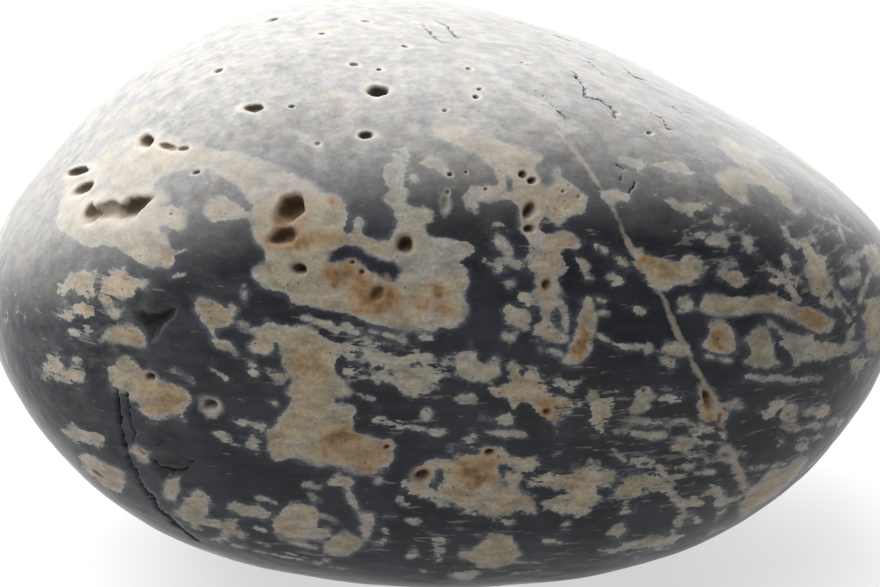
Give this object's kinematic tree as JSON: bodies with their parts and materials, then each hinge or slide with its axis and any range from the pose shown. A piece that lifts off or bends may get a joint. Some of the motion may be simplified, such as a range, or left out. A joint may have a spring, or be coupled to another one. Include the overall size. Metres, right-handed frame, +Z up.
{
  "type": "river pebble",
  "caption": "Smooth water-worn dark stone, blunt at both ends, flat-crowned with a long sloping shoulder, mottled with cream and pitted by small borings.",
  "frame": {"origin": "on the resting face's plane, under the middle of the bounding box", "axes": "+X along the stone's length towards the end below the long slope, +Z up, and the bored front faces -Y"},
  "size_m": [0.0934, 0.0644, 0.0554],
  "materials": {
    "stone": "water-worn satin, dark blue-grey with cream patches and brown stains"
  },
  "bodies": {
    "root": {"pebble": "stone"}
  },
  "joints": []
}
